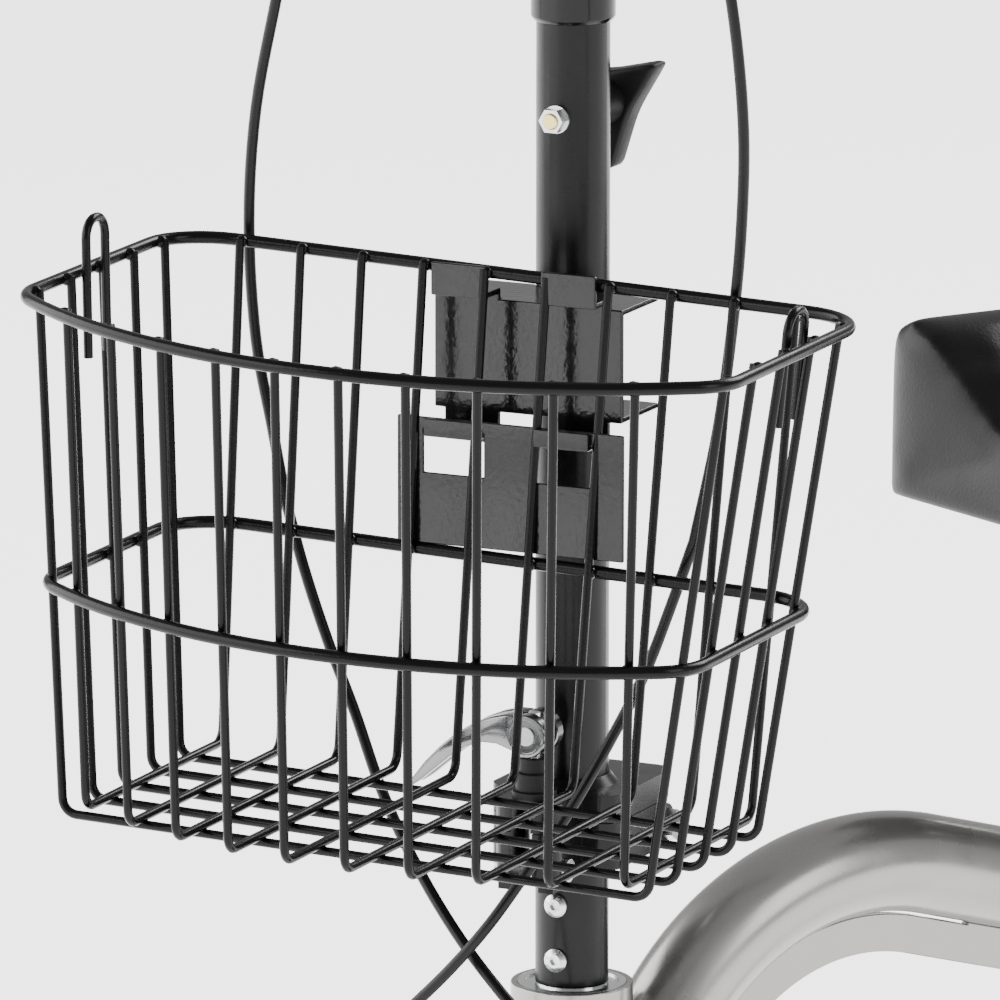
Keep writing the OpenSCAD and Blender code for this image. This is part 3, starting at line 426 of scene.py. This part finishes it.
def make_basket():
    inset = rim_wire + thin_wire - 0.3
    uprights, lumps = [], []
    for k in range(10):
        top, foot = (k - 4.5) * 28.7, (k - 4.5) * 27.5
        mid = foot + (top - foot) * (mid_z - floor_z) / (rim_z - floor_z)
        corners = [
            (top, front_edge(top, rim_z, inset), rim_z + 1.6),
            (foot, front_edge(foot, floor_z, inset), floor_z),
            (foot, basket_level(floor_z)[1] - inset, floor_z),
            (top, basket_level(rim_z)[1] - inset, rim_z + 1.6),
        ]
        uprights.append(rounded([in_basket(*c) for c in corners], 0.007))
        for z, x in ((rim_z, top), (mid_z, mid)):
            lumps.append((x, front_edge(x, z, rim_wire), z))
            lumps.append((x, basket_level(z)[1] - rim_wire, z))
    for k in range(5):
        top, foot = -195 + 30 * k, -204.7 + 28.3 * k
        mid = foot + (top - foot) * (mid_z - floor_z) / (rim_z - floor_z)
        corners = [
            (-rim_half + inset, top, rim_z + 1.6),
            (-floor_half + inset, foot, floor_z - 2 * thin_wire + 0.4),
            (floor_half - inset, foot, floor_z - 2 * thin_wire + 0.4),
            (rim_half - inset, top, rim_z + 1.6),
        ]
        uprights.append(rounded([in_basket(*c) for c in corners], 0.007))
        for z, y in ((rim_z, top), (mid_z, mid)):
            for s in (-1, 1):
                lumps.append((s * (basket_level(z)[0] - rim_wire), y, z))
    ears = []
    for s, y, top in ((-1, -150, rim_z + 24.5), (1, -113.5, rim_z + 14)):
        x = rim_half - inset - 3.2
        loop = [(x - 3, y - 9, rim_z - 34), (x, y - 9, top), (x, y + 9, top), (x - 3, y + 9, rim_z - 34)]
        ears.append(rounded([in_basket(s * a, b, c) for a, b, c in loop], 0.0088, 8))
    meshes = [wires("uprights", uprights, thin_wire / 1000),
              wires("ears", ears, thin_wire / 1000, sides=12),
              wires("rings", [ring_run(rim_z), ring_run(mid_z)], rim_wire / 1000, closed=True, sides=14)]
    beads = bmesh.new()
    for x, y, z in lumps:
        bmesh.ops.create_icosphere(beads, subdivisions=2, radius=0.0029,
                                   matrix=Matrix.Translation(in_basket(x, y, z)))
    meshes.append(beads)
    finished("wire_basket", joined(meshes), wire_black, "basket", ("basket_net", "basket_rings"))


make_basket()


# ---------- main tube ----------
tube_r, tube_bend = 22.2, 127
crest_y, crest_z = 155, 320
rise, fall, drop = math.radians(52), math.radians(16), math.radians(62)
wheelbase, wheel_r = 551, 101.5
sleeve_y = 405


def tube_path():
    """The middle of the main tube, as points along its straights and bends."""
    fall_y, fall_z = crest_y + tube_bend * math.sin(fall), crest_z - tube_bend * (1 - math.cos(fall))
    tail_y = tube_bend * (math.sin(drop) - math.sin(fall))
    tail_z = tube_bend * (math.cos(fall) - math.cos(drop))
    run_y, run_z = wheelbase - fall_y - tail_y, fall_z - tail_z - wheel_r
    tail = (run_z - run_y * math.tan(fall)) / (math.sin(drop) - math.cos(drop) * math.tan(fall))
    long = (run_y - tail * math.cos(drop)) / math.cos(fall)
    drop_y, drop_z = fall_y + long * math.cos(fall), fall_z - long * math.sin(fall)
    rise_y, rise_z = crest_y - tube_bend * math.sin(rise), crest_z - tube_bend * (1 - math.cos(rise))
    path = [(rise_y - 60 * math.cos(rise), rise_z - 60 * math.sin(rise))]
    for k in range(41):
        a = -rise + (rise + fall) * k / 40
        path.append((crest_y + tube_bend * math.sin(a), crest_z - tube_bend * (1 - math.cos(a))))
    for k in range(29):
        a = fall + (drop - fall) * k / 28
        path.append((drop_y + tube_bend * (math.sin(a) - math.sin(fall)),
                     drop_z - tube_bend * (math.cos(fall) - math.cos(a))))
    return path + [(wheelbase, wheel_r)]


def make_main_tube():
    body = finished("main_tube_sweep", wires("main tube", [[in_frame(0, y, z) for y, z in tube_path()]],
                                             tube_r / 1000, sides=72), silver_paint)
    cutters = []
    sleeve_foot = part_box("pad_sleeve")[0][2] * 1000
    for place, radius, length in (
        (in_frame(0, 0, 230), 26.4, 0.4),
        (in_frame(0, wheelbase, wheel_r), 15.9, 0.2),
        (in_frame(0, sleeve_y, sleeve_foot + 80), 17.4, 0.201),
    ):
        cutter = bmesh.new()
        way = Matrix.Rotation(math.pi / 2, 4, "Y") if length == 0.2 else Matrix.Identity(4)
        bmesh.ops.create_cone(cutter, cap_ends=True, segments=96, radius1=radius / 1000,
                              radius2=radius / 1000, depth=length, matrix=Matrix.Translation(place) @ way)
        cutters.append(finished("cutter", cutter, silver_paint))
    for cutter in cutters:
        cut = body.modifiers.new("end", "BOOLEAN")
        cut.operation, cut.object, cut.solver = "DIFFERENCE", cutter, "EXACT"
    depsgraph = bpy.context.evaluated_depsgraph_get()
    mesh = bpy.data.meshes.new_from_object(body.evaluated_get(depsgraph))
    for gone in cutters + [body]:
        bpy.data.objects.remove(gone)
    # weld beads where it meets the head tube
    bead = []
    heading = Vector((0, math.cos(rise), math.sin(rise)))
    across = Vector((0, -math.sin(rise), math.cos(rise)))
    foot_y, foot_z = tube_path()[0]
    for k in range(72):
        a = 2 * math.pi * k / 72
        start = (Vector((0, foot_y, foot_z)) + Vector((1, 0, 0)) * tube_r * math.cos(a)
                 + across * tube_r * math.sin(a))
        reach = (math.sqrt(26.5 ** 2 - start.x ** 2) - start.y) / heading.y
        ripple = 0.35 * math.sin(9 * a) + 0.2 * math.sin(23 * a)
        bead.append(in_frame(*(start + heading * (reach + 0.6 + ripple))))
    finished("main_tube_swept", joined([mesh, wires("weld", [bead], 0.0027, closed=True, sides=12)]),
                    silver_paint, "frame", ("main_tube",))


make_main_tube()


# ---------- steering column parts ----------
knob_z, stem_r = 671, 15.875


def make_height_knob():
    """Three-lobed knob behind the column, with its stud."""
    outline = []
    for k in range(72):
        a = math.radians(5 * k)
        # hollow sides between three blunt tips
        off = (math.degrees(a) - 36) % 120 - 60
        r = min(13 / math.cos(math.radians(off)) ** 1.276, 30.5)
        outline.append((r * math.cos(a), r * math.sin(a)))
    # its own Z points backwards
    facing = (steered @ millimetres(0, 0, knob_z) @ Matrix.Rotation(math.pi / 2, 4, "X")
              @ Matrix.Scale(-1, 4, (0, 0, 1)))
    head = slab(outline, stem_r + 13.8, stem_r + 28, facing, 2.4, 4)
    hub = turned([(0, stem_r + 0.7), (8.2, stem_r + 0.7), (9.4, stem_r + 5), (10.4, stem_r + 15),
                  (0, stem_r + 15)], facing)
    dish = turned([(0, stem_r + 27.5), (6.6, stem_r + 27.5), (6.8, stem_r + 28.9), (6.2, stem_r + 29.6),
                   (0, stem_r + 29.9)], facing)
    whole = joined([head, hub, dish])
    bmesh.ops.recalc_face_normals(whole, faces=whole.faces)
    stud = turned([(0, -stem_r - 8), (3, -stem_r - 8), (3.45, -stem_r - 7.4), (3.45, stem_r + 4),
                   (0, stem_r + 4)], facing, 24)
    bmesh.ops.recalc_face_normals(stud, faces=stud.faces)
    finished("height_knob_head", whole, dull_plastic, "stem_knob", ("height_knob",))
    finished("height_knob_stud", stud, yellow_zinc, "stem_knob", ())


make_height_knob()

cam_y, cam_z, cam_r = -38, 408, 9.4


def make_cam_lever():
    """Clamp lever: two ringed eyes and a curved arm that thins towards its tip."""
    side = steered @ millimetres(0, cam_y, cam_z) @ Matrix.Rotation(math.pi / 2, 4, "X")
    top = [(-4, 8.6), (-10, 8.6), (-17, 6.8), (-25, 3.4), (-33, -1.6), (-41, -8.4), (-48, -15.6), (-54, -23.4)]
    under = [(-57, -26.6), (-55.6, -28), (-50.4, -24.4), (-43.6, -18.6), (-36, -12.2), (-28.4, -7.2),
             (-21, -4.6), (-14, -4.6), (-8, -6.6), (-4, -8)]
    parts = []
    for s in (-1, 1):
        low, high = (3.7, 9.2) if s > 0 else (-9.2, -3.7)
        parts.append(slab(top + under, low, high, side, 1.0, 3))
        eye = [(0, 3.7), (cam_r - 0.5, 3.7), (cam_r, 4.2), (cam_r, 8.9), (cam_r - 0.5, 9.5), (cam_r - 1.5, 9.7),
               (cam_r - 2.3, 9.5), (cam_r - 2.7, 8.7), (4.2, 8.5), (0, 8.9)]
        facing = Matrix.Identity(4) if s > 0 else Matrix.Rotation(math.pi, 4, "X")
        parts.append(turned(eye, side @ facing, 56))
    # the web that joins the two cheeks along the arm
    web = [(-17, 5.4), (-25, 2), (-33, -3), (-41, -9.8), (-48, -17), (-55, -25), (-49, -21), (-42, -14.8),
           (-34.6, -8.8), (-27.6, -4), (-20, -1.6), (-16, -1.6)]
    parts.append(slab(web, -5, 5, side, 0.5, 2))
    whole = joined(parts)
    bmesh.ops.recalc_face_normals(whole, faces=whole.faces)
    finished("cam_lever_forged", whole, bright_alloy, "cam", ("cam_lever",))


make_cam_lever()

# CAD parts kept as they are, with their edges eased
for node, body, width, slot_name in [
    ("basket_hanger", "column", 0.0007, "gloss_black"), ("basket_plate", "basket", 0.0006, "gloss_black"),
    ("upper_hinge_plate", "column", 0.0008, "satin_black"), ("lower_hinge_plate", "fork", 0.0008, "satin_black"),
    ("lower_stem", "fork", 0.0005, "satin_black"), ("gusset_plate", "frame", 0.0005, "frame_paint"),
    ("column_collar", "column", 0.0006, "gloss_plastic"), ("head_tube", "frame", 0.0006, "frame_paint"),
    ("clamp_cup", "column", 0.0005, "black_plastic"), ("brake_plates", "fork", 0.0006, "satin_black"),
    ("bar_clamp", "handlebar", 0.0008, "black_plastic"), ("lever_brackets", "handlebar", 0.0008, "black_plastic"),
    ("pad_sleeve", "frame", 0.0005, "frame_paint"), ("pad_board", "pad", 0.0005, "satin_black"),
]:
    piece = finished(node + "_eased", eased(node, width), node_finish[node], body, (node,))
    flats = piece.modifiers.new("flat faces", "WEIGHTED_NORMAL")
    flats.keep_sharp = True


# ---------- knee pad ----------
pad_front, pad_l, pad_z = 240, 330, 459
foam_voxel, swell_cap = 0.005, 0.006


def make_knee_pad():
    """The padded rest: its CAD form enlarged a little, smoothed, then swelled as cloth over foam."""
    mesh = bmesh.new()
    mesh.from_mesh(nodes["knee_pad"].data)
    bmesh.ops.remove_doubles(mesh, verts=mesh.verts, dist=2e-6)
    centre = in_frame(0, pad_front + pad_l / 2, pad_z)
    bmesh.ops.scale(mesh, vec=(1.05, 1.04, 1.05), space=Matrix.Translation(-centre), verts=mesh.verts)
    pad = finished("pad form", mesh, pad_vinyl)
    remesh = pad.modifiers.new("even", "REMESH")
    remesh.mode, remesh.voxel_size = "VOXEL", foam_voxel
    even = bpy.data.meshes.new_from_object(pad.evaluated_get(bpy.context.evaluated_depsgraph_get()))
    bpy.data.objects.remove(pad)
    mesh = bmesh.new()
    mesh.from_mesh(even)
    floor_height = (pad_z + 0.3) / 1000
    loose = [v for v in mesh.verts if v.co.z > floor_height + 0.004]
    for _ in range(6):
        bmesh.ops.smooth_vert(mesh, verts=loose, factor=0.5, use_axis_x=True, use_axis_y=True, use_axis_z=True)
    pad = finished("knee_pad_cushion", mesh, pad_vinyl)
    held = pad.vertex_groups.new(name="held")
    start = [v.co.copy() for v in pad.data.vertices]
    held.add([v.index for v in pad.data.vertices if v.co.z < floor_height + 0.006], 1.0, "REPLACE")
    swell = pad.modifiers.new("swell", "CLOTH")
    swell.settings.use_pressure = True
    swell.settings.uniform_pressure_force = 4
    swell.settings.vertex_group_mass = "held"
    swell.settings.tension_stiffness = swell.settings.compression_stiffness = 25
    swell.settings.bending_stiffness = 4
    swell.settings.effector_weights.gravity = 0
    swell.collision_settings.use_collision = False
    scene = bpy.context.scene
    for step in range(1, 21):
        scene.frame_set(step)
    result = pad.evaluated_get(bpy.context.evaluated_depsgraph_get()).to_mesh()
    swelled = [v.co.copy() for v in result.vertices]
    pad.modifiers.remove(swell)
    scene.frame_set(1)
    for vertex, was, now in zip(pad.data.vertices, start, swelled):
        move = now - was
        if move.length > swell_cap:
            move = move.normalized() * swell_cap
        vertex.co = was + move
    pad.vertex_groups.remove(held)
    finer = pad.modifiers.new("finer", "SUBSURF")
    finer.levels = finer.render_levels = 1
    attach(pad, "pad")
    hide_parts("knee_pad")
    return pad


make_knee_pad()


# ---------- brake cables ----------
# the routes of the two cables, down from the levers, across, and to the opposite brakes
upper_left = [(95.9, -32.2, 912.7), (88, -35, 908), (80, -42, 893), (78, -49, 866), (81, -52, 826), (89, -51, 776),
              (97, -48, 725), (100, -45, 680), (98.5, -43, 640), (95, -43, 600), (88, -43, 550), (77, -43, 500)]
upper_right = [(-95.9, -32.2, 912.7), (-89, -35, 908), (-86, -42, 893), (-86.5, -49, 866), (-91.5, -52, 826),
               (-103.5, -51, 776), (-116.5, -48, 722), (-128.5, -45, 670), (-133, -43, 620), (-130, -43, 570),
               (-122, -43, 530), (-116, -43, 500)]
lower_left = [(77, -43, 500), (66, -43, 470), (54, -43, 440), (40, -48, 410), (26, -59, 380), (12, -71, 355),
              (-2, -80, 332), (-20, -84, 310), (-45, -84, 285), (-68, -80, 262), (-90, -72, 245),
              (-107, -63, 225), (-118, -57, 205), (-123, -54.5, 188), (-124.4, -54, 170.4)]
lower_right = [(-116, -43, 500), (-107, -43, 470), (-96, -43, 440), (-82, -45, 410), (-67, -51, 380),
               (-50, -58, 355), (-30, -66, 332), (-8, -72, 310), (20, -75, 285), (50, -72, 262), (80, -66, 245),
               (104, -60, 225), (118, -56, 205), (123, -54.5, 188), (124.4, -54, 170.4)]


def make_cable(name, route, node):
    """One stretch of cable, a smooth run through its route points, standing in for the CAD cable."""
    run = smooth_run([in_steering(*p) for p in route], 6)
    piece = finished(name, wires(name, [run], 0.0025, sides=12), jacket)
    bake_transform(piece)
    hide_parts(node)


make_cable("cable_left_above", upper_left, "cable_upper_left")
make_cable("cable_right_above", upper_right, "cable_upper_right")
make_cable("cable_left_below", lower_left, "cable_lower_left")
make_cable("cable_right_below", lower_right, "cable_lower_right")

# ---------- floor and light ----------
floor = bpy.data.meshes.new("floor")
floor_mesh = bmesh.new()
bmesh.ops.create_grid(floor_mesh, x_segments=1, y_segments=1, size=40)
floor_mesh.to_mesh(floor)
floor_mesh.free()
floor_piece = bpy.data.objects.new("floor", floor)
bpy.context.scene.collection.objects.link(floor_piece)
floor_finish, _, _, floor_shader = new_finish("pale floor", (0.9, 0.9, 0.9), 0.6)
floor_shader.inputs["Emission Color"].default_value = (1, 1, 1, 1)
floor_shader.inputs["Emission Strength"].default_value = 2.2
floor.materials.append(floor_finish)

world = bpy.data.worlds.new("studio")
bpy.context.scene.world = world
world.use_nodes = True
world.node_tree.nodes["Background"].inputs["Color"].default_value = (1, 1, 1, 1)
world.node_tree.nodes["Background"].inputs["Strength"].default_value = 0.55


def soft_light(name, place, aim, size, power):
    """A square soft box that faces aim."""
    lamp = bpy.data.lights.new(name, "AREA")
    lamp.shape = "RECTANGLE"
    lamp.size, lamp.size_y = size
    lamp.energy = power
    box = bpy.data.objects.new(name, lamp)
    bpy.context.scene.collection.objects.link(box)
    way = Vector(aim) - Vector(place)
    box.matrix_world = Matrix.Translation(place) @ way.to_track_quat("-Z", "Y").to_matrix().to_4x4()


soft_light("key light", (-1.95, -3.0, 1.75), (0, -0.15, 0.6), (6.2, 2.8), 300)
soft_light("side light", (3.2, 1.0, 1.9), (0, 0, 0.6), (1.4, 2.0), 40)
soft_light("back light", (-0.6, 3.2, 3.0), (0, 0.1, 0.5), (2.6, 1.6), 140)
